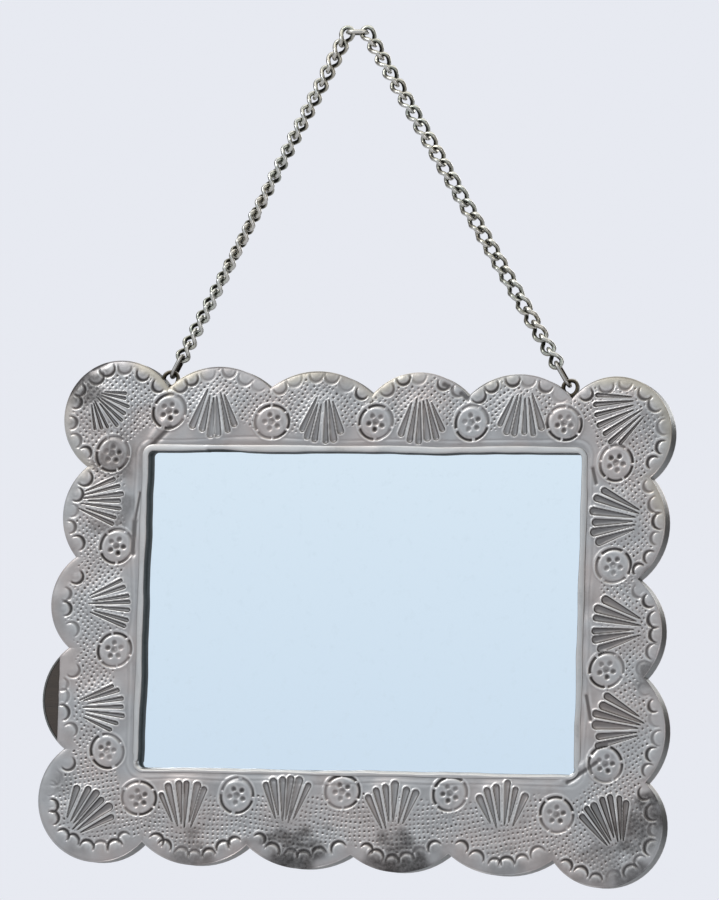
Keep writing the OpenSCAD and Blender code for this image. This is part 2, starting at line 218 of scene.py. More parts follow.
OUTWARD = np.array([(0, 1), (1, 0), (0, -1), (-1, 0)])
ONWARD = np.array([(1, 0), (0, -1), (-1, 0), (0, 1)])


def side_places(side, half, steps, strays, shift):
    """Places along one side of a rectangle of half sizes half, clockwise, each a step after the last and
    strayed by hand. They start and end a share of a step, shift, inside the side."""
    run = reach @ abs(ONWARD[side])
    along = (np.arange(steps + 1 - 2*shift) + shift)*2*run/steps - run
    return along[:, None]*ONWARD[side] + half*OUTWARD[side] + np.array(strays)


def notch_places(half, strays):
    """Places in line with the notches, clockwise from the top left."""
    return np.vstack([side_places(side, half, side_lobes[side], strays[side], 0) for side in range(4)])


notches = notch_places(notch_half, notch_strays)
rosettes = notch_places(motif_half, rosette_strays)
shells, shell_ways, swells = [], [], []
for side in range(4):
    shells += list(side_places(side, motif_half, side_lobes[side], shell_strays[side], 0.5))
    shells.append(motif_half*(OUTWARD[side] + ONWARD[side]) + np.array(corner_shell_strays[side]))
    square = -90 - 90*side
    turns = np.radians([square + tilt for tilt in shell_tilts[side]] + [square - 45 + corner_tilts[side]])
    shell_ways += list(np.c_[np.cos(turns), np.sin(turns)])
    swells += [lobe_swell + stray for stray in swell_strays[side]]
    swells.append(corner_swell + corner_swell_strays[side])
swells = np.array(swells)

# Each lobe is an arc on its two notches. The sheet's columns of points end along these arcs, a grain apart.
after = np.roll(notches, -1, axis=0)
chord = np.linalg.norm(after - notches, axis=1)
lobe_radius = (chord**2/4 + swells**2)/(2*swells)
along = (after - notches)/chord[:, None]
lobe_centre = (notches + after)/2 + np.c_[-along[:, 1], along[:, 0]]*(swells - lobe_radius)[:, None]
first_angle = np.arctan2(*(notches - lobe_centre).T[::-1])
lobe_sweep = (first_angle - np.arctan2(*(after - lobe_centre).T[::-1])) % (2*np.pi)
grain = 0.31
columns = np.round(lobe_radius*lobe_sweep/grain).astype(int)


def lobe_point(i, share, inset=0.0):
    """Point on lobe i, a share of the way round its arc, drawn in by inset, and the way out there."""
    angle = first_angle[i] - lobe_sweep[i]*np.asarray(share)
    out = np.stack([np.cos(angle), np.sin(angle)], -1)
    return lobe_centre[i] + out*np.expand_dims(lobe_radius[i] - inset, -1), out


def waver(points, span, seed):
    """Even unevenness of hand work, -1 to 1: the mean of six sine waves of about one span, in seeded
    directions."""
    dice = np.random.default_rng(seed)
    turns, phases = dice.uniform(0, 2*np.pi, (2, 6))
    stretches = dice.uniform(0.6, 1.5, 6)
    waves = [np.sin(2*np.pi*stretch/span*(points[..., 0]*np.cos(turn) + points[..., 1]*np.sin(turn)) + phase)
             for turn, phase, stretch in zip(turns, phases, stretches)]
    return np.mean(waves, 0)*1.6


def smooth_step(low, high, value):
    """0 below low, 1 above high, and an S curve between; low may be the higher one."""
    t = np.clip((value - low)/(high - low), 0, 1)
    return t*t*(3 - 2*t)


def groove(distance, width):
    """Bell curve, 1 at distance 0 and falling off over width."""
    return np.exp(-(distance/width)**2)


# The first lobe above the bottom left corner has lost its outer sheet, along a line that runs straight up
worn_lobe, worn_depth = 14, 5.8
rim = np.vstack([lobe_point(i, np.arange(n)/n)[0] for i, n in enumerate(columns)])
lobe_of = np.repeat(np.arange(len(columns)), columns)
worn = lobe_of == worn_lobe
worn_x = (notches[worn_lobe, 0] + notches[worn_lobe + 1, 0])/2 - swells[worn_lobe] + worn_depth
rim[worn, 0] = np.maximum(rim[worn, 0], worn_x + 0.25*abs(waver(rim[worn], 9, 3)))

# Rows run square to the opening, from its edge out to the rim, round it and back to the band
core = hole_half - hole_corner
root = opening_at + np.clip(rim - opening_at, -core, core)
outward = (rim - root)/np.linalg.norm(rim - root, axis=1)[:, None]
root = root + outward*hole_corner
width = np.linalg.norm(rim - root, axis=1)
edge_bend, face_rows = 0.3, 112
from_hole = np.linspace(0, 1, face_rows)[:, None]*(width - edge_bend)
to_rim = width - from_hole
face = root + outward*from_hole[..., None]


def shell_relief(points, centre, way, seed, hollows, length, origin, spread, plump, end_ink):
    """Height of a shell: a low crown with hollows shaped like long drops, each a line away from the hinge
    whose radius grows along it, and a raised lip round each hollow. Dirt lies in the hollow, more of it
    towards its end, and in a line along its edge."""
    hinge_radius, hinge_ink = 0.14, 0.42
    dice = np.random.default_rng(seed)
    spread = np.radians(spread)*dice.uniform(0.94, 1.06)
    v = (points - centre) @ way + length/2 + origin
    u = (points - centre) @ np.array([-way[1], way[0]])
    far, turn = np.hypot(u, v), np.arctan2(u, v)
    height = 0.34*smooth_step(11.5, 6.0, np.hypot(u, v - origin - length/2))
    taken, ink = np.zeros_like(far), np.zeros_like(far)
    for k in range(hollows):
        angle = ((k + 0.5)/hollows - 0.5)*spread*1.06 + dice.uniform(-0.022, 0.022)
        start = origin + dice.uniform(0.2, 3.4)
        end = origin + length - 2.1*(2*angle/spread)**2 - dice.uniform(0, 1.8)
        wide = 0.5*end*spread/hollows*plump*dice.uniform(0.78, 1.08)
        ahead, aside = far*np.cos(turn - angle), far*np.sin(turn - angle)
        nearest = np.clip(ahead, start, end - wide)
        grown = (nearest - start)/(end - wide - start)
        radius = hinge_radius + (wide - hinge_radius)*grown**0.75
        beyond = np.hypot(aside, ahead - nearest)
        bowl = np.sqrt(np.clip(1 - (beyond/radius)**2, 0, 1))
        height -= (0.28 + 0.40*grown)*bowl
        height += 0.16*groove(beyond - radius - 0.12, 0.34)*(0.4 + 0.6*grown)
        bowl_ink = (hinge_ink + (end_ink - hinge_ink)*grown)*bowl
        line_ink = (0.52 + 0.55*end_ink)*groove(beyond - 0.95*radius, 0.22)
        ink = np.maximum(ink, bowl_ink + line_ink)
        taken = np.maximum(taken, smooth_step(radius + 0.9, radius + 0.3, beyond))
    return height, taken, ink


def rosette_relief(points, centre, seed):
    """Height of a punched rosette: a ring groove broken into dashes, a raised disc, and a flower of five
    dents round a sixth."""
    dice = np.random.default_rng(seed)
    turn, dashes = dice.uniform(0, 2*np.pi), dice.integers(4, 7)
    offset = points - centre
    far, angle = np.hypot(*offset.T), np.arctan2(offset[..., 1], offset[..., 0])
    ring_at = 5.85 + 0.2*np.cos(2*angle + turn)
    ring = groove(far - ring_at, 0.46)*smooth_step(-0.97, -0.82, np.cos(dashes*angle + turn))
    ring *= 0.55 + 0.45*smooth_step(-0.8, 0.3, np.cos(angle + 2*turn))
    petal = (angle*5/(2*np.pi) + turn) % 1 - 0.5
    along, across = far*np.cos(petal*2*np.pi/5) - 2.45, far*np.sin(petal*2*np.pi/5)
    flower = np.maximum(groove(np.hypot(along, across/0.9)**2, 0.95), 0.7*groove(far**2, 1.7))
    flower *= dice.uniform(0.65, 0.95) + 0.25*np.cos(angle + 3*turn)
    disc = 0.16*smooth_step(5.6, 4.4, far) + 0.14*groove(far - ring_at - 0.85, 0.42)
    height = disc - 0.50*ring - 0.40*flower
    return height, smooth_step(7.1, 6.5, far), np.clip(ring + 0.85*flower, 0, 1)


def crescent_relief(points, centre, out, radius, hit):
    """Height of a crescent punch, struck harder or softer by its hit: a groove on an arc that is open towards
    the rim and widest in its middle."""
    offset = points - centre
    far = np.hypot(*offset.T)
    facing = -(offset @ out)/np.maximum(far, 1e-6)
    arc = groove(far - radius, 0.26 + 0.42*np.clip(facing, 0, 1)**2)*smooth_step(-0.35, 0.25, facing)
    lip = groove(far - radius - 0.80, 0.32)*smooth_step(-0.2, 0.4, facing)
    height = hit*(0.10*groove(far, radius*0.5) + 0.14*lip - 0.50*arc)
    return height, smooth_step(radius + 1.3, radius + 0.8, far), 0.95*np.minimum(1, 1.3*hit)*arc


# The bare sheet is a little uneven from the hammer
relief = 0.12*waver(face, 38, 1) + 0.06*waver(face, 11, 2)
punched, inked = np.zeros_like(relief), np.zeros_like(relief)


def strike(centre, size, stamp, *values):
    """Adds a motif's height to the sheet around its centre, and marks the ground that it takes and what
    holds its dirt."""
    near = (abs(face - centre) < size).all(-1)
    height, taken, ink = stamp(face[near], centre, *values)
    relief[near] += height
    punched[near] = np.maximum(punched[near], taken)
    inked[near] = np.maximum(inked[near], ink)


# Each side, and each corner, has a shell punch of its own: its hollows, its length, how far behind its hinge
# they spread from and by how many degrees, how plump they are, and the dirt at their ends
fans = [(6, 17.0, 7.0, 48, 0.82, 0.2)]*4 + [(7, 18.0, 6.5, 54, 0.50, 0.5)]
fans += [(6, 19.0, 6.0, 53, 0.80, 0.6)]*3 + [(7, 18.0, 6.0, 54, 0.80, 0.6)]
fans += [(6, 17.5, 7.0, 50, 0.80, 0.3)]*4 + [(6, 18.0, 6.0, 50, 0.80, 0.5)]
fans += [(7, 17.0, 6.0, 50, 0.58, 0.35)]*3 + [(9, 13.5, 3.0, 78, 0.55, 0.3)]
shell_room, rosette_room, crescent_room = 16, 8, 4.5
rosette_seed, crescent_seed = 40, 80
for i, (centre, way, fan) in enumerate(zip(shells, shell_ways, fans)):
    strike(centre, shell_room, shell_relief, way, i, *fan)
for i, centre in enumerate(rosettes):
    strike(centre, rosette_room, rosette_relief, rosette_seed + i)

# Crescents, lobe by lobe: how far in from the rim they stand, nearest at the top and furthest at the left,
# how hard they were struck, and how far apart they are
crescent_insets = [1.7, 1.7, 1.5, 1.7, 2.5, 2.1, 2.0, 2.2, 2.6, 4.0, 4.2, 4.0, 3.6, 4.4, 6.4, 4.9, 2.7, 2.6]
crescent_hits = [0.6, 0.6, 0.7, 0.8, 1, 1, 1, 1, 0.9, 1.1, 1.2, 1.2, 1.1, 0.9, 0.8, 0.8, 0.8, 0.8]
crescent_steps = [6.8]*5 + [6.2]*4 + [5.4]*5 + [6.2]*4
for i, inset in enumerate(crescent_insets):
    count = round((columns[i]*grain - lobe_sweep[i]*inset)/crescent_steps[i])
    dice = np.random.default_rng(crescent_seed + i)
    shares = (np.arange(count) + 0.5 + dice.uniform(-0.19, 0.19, count))/count
    places, outs = lobe_point(i, shares, inset + dice.uniform(-0.7, 0.5, count))
    radii = dice.uniform(2.1, 2.8, count)
    hits = np.clip(dice.uniform(0.15, 1.6, count)*crescent_hits[i], 0.08, 1.0)
    for centre, out, radius, hit in zip(places, outs, radii, hits):
        strike(centre, crescent_room, crescent_relief, out, radius, hit)

# Small square dents on a lattice, between the motifs and inside the crescents. Each lobe turns its lattice
# its own way: about square to the picture at the bottom, and by about 45 degrees elsewhere.
dot_pitch = 1.62
bottom_lobes = slice(9, 14)
lobe_turns = np.random.default_rng(5).uniform(33, 57, len(columns))
lobe_turns[bottom_lobes] -= 45
own_turn = np.radians(lobe_turns)[lobe_of]
inset_of = np.array(crescent_insets)[lobe_of]
clear_of_lip = smooth_step(7.0, 8.4, from_hole + 2.2*waver(face, 22, 5))
ground = clear_of_lip*smooth_step(inset_of - 1.2, inset_of, to_rim)*(1 - punched)
lattice = np.stack([face[..., 0]*np.cos(own_turn) + face[..., 1]*np.sin(own_turn),
                    face[..., 1]*np.cos(own_turn) - face[..., 0]*np.sin(own_turn)], -1)/dot_pitch
lattice += 0.16*np.stack([waver(face, 8, 6), waver(face, 8, 7)], -1)
cell = np.round(lattice)
jitter = 0.12*np.stack([np.sin(12.9*cell[..., 0] + 78.2*cell[..., 1]),
                        np.sin(39.3*cell[..., 0] + 11.1*cell[..., 1])], -1)
off_dot = abs(lattice - cell - jitter)*dot_pitch
dot = np.exp(-(off_dot[..., 0]/0.38)**4 - (off_dot[..., 1]/0.34)**4)
dot *= 0.75 + 0.25*np.sin(5.1*cell[..., 0] + 2.3*cell[..., 1])
relief += ground*(0.03 - 0.30*dot)
inked = np.maximum(inked, ground*dot)

# The sheet dips to the bezel's lip, and the rim is dressed down over the band
relief -= 0.16*smooth_step(3.2, 1.4, from_hole) + 0.08*groove(from_hole - 3.6 - 0.7*waver(face, 30, 8), 0.45)
relief -= 0.30*np.exp(-to_rim/1.1)

# Marks of age: creases, dents and places where the sheet has lifted, each from one point to another, with
# its width and its height
marks = [((-79, 57.5), (-72.5, 66), 1.4, 0.30), ((-77, 57.5), (-70.5, 64), 1.1, -0.28),
         ((-80.6, 41), (-82.2, 31), 0.5, -0.4), ((-82.2, 31), (-82.6, 20), 1.0, -0.45),
         ((79.9, 50.5), (81.2, 45.5), 0.7, -0.3), ((79.8, -27), (81.4, -35), 0.7, -0.3),
         ((72, -56), (83, -48), 1.3, 0.30), ((74, -56.5), (84, -49.5), 0.9, -0.28),
         ((-99, 84.5), (-95, 86.5), 1.6, -0.5), ((-107, 76.5), (-104, 80), 1.5, -0.5),
         ((27, 79), (29, 78), 1.1, -0.4), ((33, 76), (35, 74.5), 1.0, -0.4)]


def to_line(points, start, end):
    """Distance to the straight line between two points."""
    start, run = np.array(start, float), np.subtract(end, start, dtype=float)
    t = np.clip((points - start) @ run/(run @ run), 0, 1)
    return np.linalg.norm(points - start - t[..., None]*run, axis=-1)


for start, end, wide, high in marks:
    relief += high*groove(to_line(face, start, end), wide)
deepest, highest = -0.5, 0.66
relief = np.clip(relief, deepest, highest)


def local_mean(values, cells):
    """Mean over a square of grid neighbours, so many cells each way: wrapped round the ring, and held at its
    two edges."""
    ring = np.mean([np.roll(values, k, axis=1) for k in range(-cells, cells + 1)], 0)
    padded = np.pad(ring, ((cells, cells), (0, 0)), mode="edge")
    return np.mean([padded[k:k + len(values)] for k in range(2*cells + 1)], 0)


# Dirt gathers where the sheet lies below its surroundings, and wear brightens what stands above them
near_mean, wide_mean = local_mean(relief, 3), local_mean(relief, 10)
cavity = np.clip((near_mean - relief)/0.24, 0, 1)*0.32 + np.clip((wide_mean - relief)/0.60, 0, 1)*0.14
cavity = np.maximum(cavity, inked)*smooth_step(0.0, 1.2, to_rim + 0.8*inked)
crest = np.clip((relief - near_mean)/0.12, 0, 1)
for start, end, wide, high in marks:
    cavity = np.maximum(cavity, (high < 0)*0.7*smooth_step(1.3, 0.3, to_line(face, start, end)/wide))
cavity = np.clip(cavity, 0, 1)

# Tarnish lies thicker on some lobes: centre, radius and strength
stains = [((-22, -84), 17, 0.9), ((17, -86), 16, 0.9), ((-57, -84), 12, 0.6), ((98, -72), 13, 0.8),
          ((88, -84), 13, 0.5), ((-103, 78), 13, 0.8), ((-90, 52), 12, 0.6), ((-91, 34), 12, 0.45),
          ((52, -84), 9, 0.35), ((101, 66), 9, 0.35), ((104, -66), 10, 0.85), ((96, -88), 10, 0.7),
          ((102, 14), 6, 0.6), ((101, -20), 6, 0.6), ((-104, -60), 8, 0.4)]
stain = np.zeros_like(relief)
for centre, radius, strength in stains:
    gone = np.linalg.norm(face - centre, axis=-1)/radius + 0.28*waver(face, 10, 9)
    stain = np.maximum(stain, strength*smooth_step(1.0, 0.35, gone))

# The rims of the upper lobes have yellowed
warm = smooth_step(5.5, 1.0, to_rim)*smooth_step(-0.3, 0.5, waver(face, 50, 11))
warm *= smooth_step(20, 50, face[..., 1])

# Three last rows bend the sheet round its edge: how far in from the rim and how far back each one lies
bend_rows = [(0.09, 0.09), (0.0, 0.3), (0.0, sheet)]
rows = [np.dstack([face[..., 0], front_y - relief, face[..., 1]])]
for inset, back in bend_rows:
    edge = rim - outward*inset
    rows.append(np.c_[edge[:, 0], np.full(len(edge), front_y + back), edge[:, 1]][None])
grid = np.vstack(rows)
down_rows = np.gradient(grid, axis=0)
round_ring = (np.roll(grid, -1, axis=1) - np.roll(grid, 1, axis=1))/2
normal = np.cross(round_ring, down_rows)
normal /= np.maximum(np.linalg.norm(normal, axis=-1, keepdims=True), 1e-9)
grid[..., 0] += middle[0]
grid[..., 2] += middle[1]
surface = {name: np.vstack([values, np.repeat(values[-1:], len(bend_rows), axis=0)])
           for name, values in (("cavity", cavity), ("crest", crest), ("stain", stain), ("warm", warm))}


def grid_faces(row_count, column_count, wrap_rows=False, wrap_columns=False):
    """Quads of a grid of points, stored row by row, that turn from column to row."""
    down = np.arange(row_count if wrap_rows else row_count - 1)[:, None]
    across = np.arange(column_count if wrap_columns else column_count - 1)[None]
    below, beside = (down + 1) % row_count, (across + 1) % column_count
    return np.stack([down*column_count + across, down*column_count + beside,
                     below*column_count + beside, below*column_count + across], -1).reshape(-1, 4)


def mark_points(piece, **shares):
    """Stores a share from 0 to 1 for each point of a piece, under each name."""
    for name, values in shares.items():
        layer = piece.data.attributes.new(name, "FLOAT", "POINT")
        layer.data.foreach_set("value", np.ravel(values).astype(np.float32))


def noise(tree, where, scale, detail, rough=0.5):
    """Factor of a noise texture."""
    node = add(tree, "ShaderNodeTexNoise", Vector=where, Scale=scale, Detail=detail, Roughness=rough)
    return node.outputs["Fac"]


def object_place(tree):
    """Coordinates on the piece itself."""
    return tree.nodes.new("ShaderNodeTexCoord").outputs["Object"]


def tarnish_group():
    """Colour, roughness and height of old metal: dark in its cavities and stains, brushed bright on its
    crests, drifting between a pink and a blue grey, and yellowed where it is warm."""
    group = bpy.data.node_groups.new("old_metal", "ShaderNodeTree")
    inputs = [(name, "Float", 0) for name in ("Cavity", "Crest", "Stain", "Warm")]
    inputs += [("Matte", "Float", 0.36), ("Bright", "Color", (0.66, 0.62, 0.63, 1)),
               ("Dark", "Color", (0.08, 0.07, 0.065, 1))]
    for name, kind, value in inputs:
        socket = group.interface.new_socket(name, in_out="INPUT", socket_type="NodeSocket" + kind)
        socket.default_value = value
    for name, kind in (("Color", "Color"), ("Roughness", "Float"), ("Height", "Float")):
        group.interface.new_socket(name, in_out="OUTPUT", socket_type="NodeSocket" + kind)
    given = group.nodes.new("NodeGroupInput").outputs
    result = group.nodes.new("NodeGroupOutput").inputs
    where = object_place(group)
    speck = noise(group, where, 900, 3, 0.65)
    brushed = add(group, "ShaderNodeMapping", Vector=where, Rotation=(0, 0.6, 0), Scale=(1, 1, 14))
    scratch = noise(group, brushed.outputs["Vector"], 260, 3, 0.7)
    veil = ramp(group, noise(group, where, 70, 5, 0.6), 0.48, 0.72, 0, 0.32)
    broken = maths(group, "MULTIPLY", given["Stain"], ramp(group, speck, 0.3, 0.62, 0.72, 1))
    amount = maths(group, "MAXIMUM", given["Cavity"], maths(group, "MAXIMUM", broken, veil), clamp=True)
    amount = maths(group, "SUBTRACT", amount, maths(group, "MULTIPLY", given["Crest"], 0.30), clamp=True)
    drift = ramp(group, noise(group, where, 48, 3, 0.55), 0.40, 0.62)
    tint = blend_colors(group, drift, (0.93, 0.97, 1.0, 1), (1.0, 0.95, 0.935, 1))
    tint = blend_colors(group, maths(group, "MULTIPLY", given["Warm"], 0.8), tint, (1.18, 1.12, 0.92, 1))
    bright = blend_colors(group, 1.0, given["Bright"], tint, "MULTIPLY")
    polish = maths(group, "MULTIPLY", given["Crest"], 0.6)
    bright = blend_colors(group, polish, bright, (0.72, 0.70, 0.68, 1))
    group.links.new(blend_colors(group, amount, bright, given["Dark"]), result["Color"])
    rough = maths(group, "MULTIPLY_ADD", amount, 0.24, given["Matte"])
    rough = maths(group, "MULTIPLY_ADD", maths(group, "SUBTRACT", scratch, 0.5), 0.18, rough, clamp=True)
    group.links.new(rough, result["Roughness"])
    fine = maths(group, "MULTIPLY_ADD", scratch, 0.5, maths(group, "MULTIPLY", speck, 0.5))
    group.links.new(fine, result["Height"])
    return group


def dress(tree, shader, color, roughness, height, strength, depth):
    """Gives a shader its colour, its roughness and a bump of some strength and depth, in metres."""
    tree.links.new(color, shader.inputs["Base Color"])
    tree.links.new(roughness, shader.inputs["Roughness"])
    bump = add(tree, "ShaderNodeBump", Strength=strength, Distance=depth, Height=height)
    tree.links.new(bump.outputs[0], shader.inputs["Normal"])


old_metal_group = tarnish_group()


def old_metal(name, bright, dark, depth, matte=0.36, marked=True):
    """Material of old metal in two tones. On a marked piece its points say where it is hollow, worn, stained
    and warm; on the bezel, hollow and worn stand for painted shade and a painted highlight."""
    material, tree, shader = new_material(name)
    metal = add(tree, "ShaderNodeGroup", node_tree=old_metal_group, Bright=bright, Dark=dark, Matte=matte)
    for mark in (("Cavity", "Crest", "Stain", "Warm") if marked else ()):
        source = add(tree, "ShaderNodeAttribute", attribute_name=mark.lower())
        tree.links.new(source.outputs["Fac"], metal.inputs[mark])
    dress(tree, shader, *(metal.outputs[key] for key in ("Color", "Roughness", "Height")), 0.35, depth)
    shader.inputs["Metallic"].default_value = 0.93
    return material


# The sheet's mesh is in four strips that meet point to point, each with the lobes from its start to the next
silver = old_metal("tarnished_silver", (0.47, 0.44, 0.425, 1), (0.032, 0.028, 0.027, 1), 0.00012)
strip_starts = {"front_sheet_top": 0, "front_sheet_right": 5, "front_sheet_bottom": 9, "front_sheet_left": 14}
strip_ends = list(strip_starts.values())[1:] + [len(columns)]
for (name, first), last in zip(strip_starts.items(), strip_ends):
    held = np.arange(columns[:first].sum(), columns[:last].sum() + 1) % columns.sum()
    piece = mesh_object(name, grid[:, held].reshape(-1, 3)*MM, grid_faces(len(grid), len(held)))
    mark_points(piece, **{key: values[:, held] for key, values in surface.items()})
    piece.data.normals_split_custom_set_from_vertices(normal[:, held].reshape(-1, 3).tolist())
    piece.data.materials.append(silver)
    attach(piece, "frame")
    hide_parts("front_frame")

# Sight bezel
# A strip of silver bent by hand to a wall, with painted shade inside, and a lip that laps the sheet
# round the opening, with a painted highlight on its top. Under the glass its edge is bevelled, and a painted
# highlight covers the bevel.

# Each row that runs round it: how far out from the opening, how far in front of the glass, and its painted
# shade
# Painted shade is full in the wall and at the lip's outer edge, and least on the lip's top, which takes a
# painted highlight
bezel_rows = [(0.0, 0.0, 1.0), (0.0, 0.8, 1.0), (0.0, 1.6, 0.95), (0.0, 2.4, 0.92), (0.0, 3.2, 0.88),
              (0.0, 3.9, 0.8), (0.05, 4.10, 0.45), (0.16, 4.24, 0.1), (0.34, 4.30, 0.0), (0.7, 4.31, 0.1),
              (1.2, 4.28, 0.22), (1.7, 4.23, 0.28), (2.05, 4.16, 0.35), (2.20, 4.06, 0.5), (2.24, 3.9, 0.8),
              (2.0, 3.8, 1.0)]
side_grain, corner_steps = 0.5, 8


def sight_loop():
    """Corner centres and ways out, in order round the opening: straight runs, and a quarter turn at each
    corner."""
    heart = sight/2 - sight_corner
    centres, angles = [], []
    along_x, along_z = 0, 1
    for turn, (x, z), run in ((90, (1, 1), along_x), (0, (1, -1), along_z),
                              (-90, (-1, -1), along_x), (180, (-1, 1), along_z)):
        steps = int(2*heart[run]/side_grain)
        corner_at = heart*[x, z]
        start_at = heart*([-x, z] if run == along_x else [x, -z])
        straight = start_at + (corner_at - start_at)*(np.arange(steps)/steps)[:, None]
        centres += [straight, np.repeat([corner_at], corner_steps, axis=0)]
        round_corner = turn - 90*np.arange(corner_steps)/corner_steps
        angles += [np.radians(np.full(steps, turn)), np.radians(round_corner)]
    angles = np.concatenate(angles)
    return np.vstack(centres), np.c_[np.cos(angles), np.sin(angles)]


# The edge sways. At the top it also gives way outwards near its left end, and inwards right of its middle.
centres, out_ways = sight_loop()
on_edge = centres + out_ways*sight_corner
edge_x, edge_z = on_edge.T
at_top = edge_z > 50
sway = 0.26*waver(on_edge, 34, 21) + 0.07*waver(on_edge, 9, 22)
sway += 0.40*smooth_step(-57.0, -55.2, edge_x)*smooth_step(-40.0, -52.0, edge_x)*at_top
sway -= 0.35*smooth_step(5.0, 22.0, edge_x)*smooth_step(36.0, 26.0, edge_x)*at_top
lip_wide = 1 + 0.10*waver(on_edge, 26, 23) - 0.16*(edge_z < -50)
lip_rise = 0.05*waver(on_edge, 12, 24)
below_glass = smooth_step(-52.6, -53.0, edge_z)
bevel = below_glass*(0.75 + 0.15*waver(on_edge, 40, 26))

# Heights in front of the glass, up to the top of the dark wall and up to the lip, and distances out from the
# opening to the lip's flat, its end and its outer edge. The bevel has its own foot, height and reach.
wall_top, lip_low = 3, 4
lip_from, lip_flat_to, lip_ends = 0.5, 2.0, 2.1
bevel_from, bevel_height, bevel_reach = 3.3, 0.9, 2.2
bezel_grid = []
for out, high, _ in bezel_rows:
    off = sight_corner + out*(lip_wide if out > lip_from else 1)
    off = off + sway*min(1, high/2)*(1 if out < lip_flat_to else 0.4)
    off = off + bevel*np.clip((high - bevel_from)/bevel_height, 0, 1)*max(0, 1 - out/bevel_reach)
    ring = centres + out_ways*off[:, None] + middle + opening_at
    raised = lip_rise*(high > lip_low and out < lip_ends)
    bezel_grid.append(np.c_[ring[:, 0], -high - raised, ring[:, 1]])
bezel = mesh_object("sight_lip", np.reshape(bezel_grid, (-1, 3))*MM,
                    grid_faces(len(bezel_rows), len(centres), wrap_columns=True))

# Under the glass all of the bevel and the flat of the lip lose their painted shade and take the full painted
# highlight
painted_row_shade = np.array([dark*(1 - below_glass*(high > wall_top and out < lip_flat_to))
                     for out, high, dark in bezel_rows])
lip_stain = np.clip(0.25 + 0.25*waver(on_edge, 18, 25), 0, 1)*(painted_row_shade < 0.3)
# The bezel's cavity is its painted shade, and its crest a painted highlight
mark_points(bezel, cavity=painted_row_shade, crest=1 - painted_row_shade, stain=lip_stain)
# Its dark tone is the colour of the painted shade in the wall
bezel_silver_with_painted_light = old_metal("bezel_silver_with_painted_light", (0.44, 0.42, 0.405, 1), (0.03, 0.036, 0.034, 1), 0.00008)
bezel.data.materials.append(bezel_silver_with_painted_light)
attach(bezel, "frame")
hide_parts("sight_bezel")

# Chain
# Silver wire bent into long rings, each closed round the next and then twisted, so that the chain lies flat.
# The middle link rests on the nail. The last link of each strand is plain brass and stands across the loop.
wire_r, link_play = 0.75, 0.25
hook = wire_r + link_play/2
bend_r, belly, twist = 2.1, (2.05, 2.2), np.radians(-84)
links_per_side, apex_pitch = 26, 5.1
pitches, end_pitches = (5.1, 5.45), (6.5, 7.7)
loop_rise, loop_strays = 3.6, np.array([(-0.3, -0.2), (-1.4, 0.3)])
loops = middle + notches[[0, lobes_across]] + [0, loop_rise] + loop_strays
apex_ends = np.array([(-apex_pitch/2 - hook, wire_r), (apex_pitch/2 + hook, wire_r)])
ways = (loops - apex_ends)/np.linalg.norm(loops - apex_ends, axis=1)[:, None]

# Shares of the way down the left and the right strand, and the links' turns there, in degrees
strand_turns = [([0, 0.2, 0.45, 1], [-138, -110, -88, -42]),
                ([0, 0.1, 0.25, 0.75, 1], [-138, -124, -143, -172, -222])]


def link_path(pitch, turn_down, bow, count):
    """Closed line of a link that hangs from the origin: two half rings, turned by half the twist each way and
    joined by wires that bow out half way down, then rounded by averaging each point with its neighbours."""
    fine, rounding = 240, 0.42
    top_z = hook - bend_r
    half_ring = np.linspace(0, np.pi, fine)
    across, up = bend_r*np.cos(half_ring), bend_r*np.sin(half_ring)
    c, s = np.cos(turn_down/2), np.sin(turn_down/2)
    top = np.c_[across*c, across*s, top_z + up]
    low = np.c_[-across*c, across*s, -pitch - top_z - up]
    path = np.vstack([top, [(-bow, 0, -pitch/2)], low, [(bow, 0, -pitch/2)], top[:1]])
    length = np.r_[0, np.cumsum(np.linalg.norm(np.diff(path, axis=0), axis=1))]
    even = np.arange(fine)/fine*length[-1]
    path = np.stack([np.interp(even, length, path[:, axis]) for axis in range(3)], 1)
    kernel = groove(np.minimum(even, length[-1] - even), rounding*np.sqrt(2))
    blur = np.fft.rfft(kernel/kernel.sum())[:, None]
    smooth = np.fft.irfft(np.fft.rfft(path, axis=0)*blur, fine, axis=0)
    return smooth[np.round(np.arange(count)*fine/count).astype(int)]


def wire_round(path, radius, sides, flat):
    """Wire along a closed path: rings of points round it, flattened by a share of the radius square to the
    path's plane, and how far each point faces into the path, -1 to 1."""
    run = np.roll(path, -1, axis=0) - np.roll(path, 1, axis=0)
    run /= np.linalg.norm(run, axis=1)[:, None]
    out = path - path.mean(0)
    out -= (out*run).sum(1)[:, None]*run
    out /= np.linalg.norm(out, axis=1)[:, None]
    side = np.cross(run, out)
    angle = np.arange(sides)*2*np.pi/sides
    points = path[:, None] + np.asarray(radius).reshape(-1, 1, 1)*(
        np.cos(angle)[:, None]*out[:, None] + (1 - flat)*np.sin(angle)[:, None]*side[:, None])
    return points, np.broadcast_to(-np.cos(angle), points.shape[:2])


def turned(points, turn, lean):
    """Points turned about Z by turn and then about Y by lean."""
    x = points[..., 0]*np.cos(turn) - points[..., 1]*np.sin(turn)
    y = points[..., 0]*np.sin(turn) + points[..., 1]*np.cos(turn)
    return np.stack([x*np.cos(lean) + points[..., 2]*np.sin(lean), y,
                     points[..., 2]*np.cos(lean) - x*np.sin(lean)], -1)


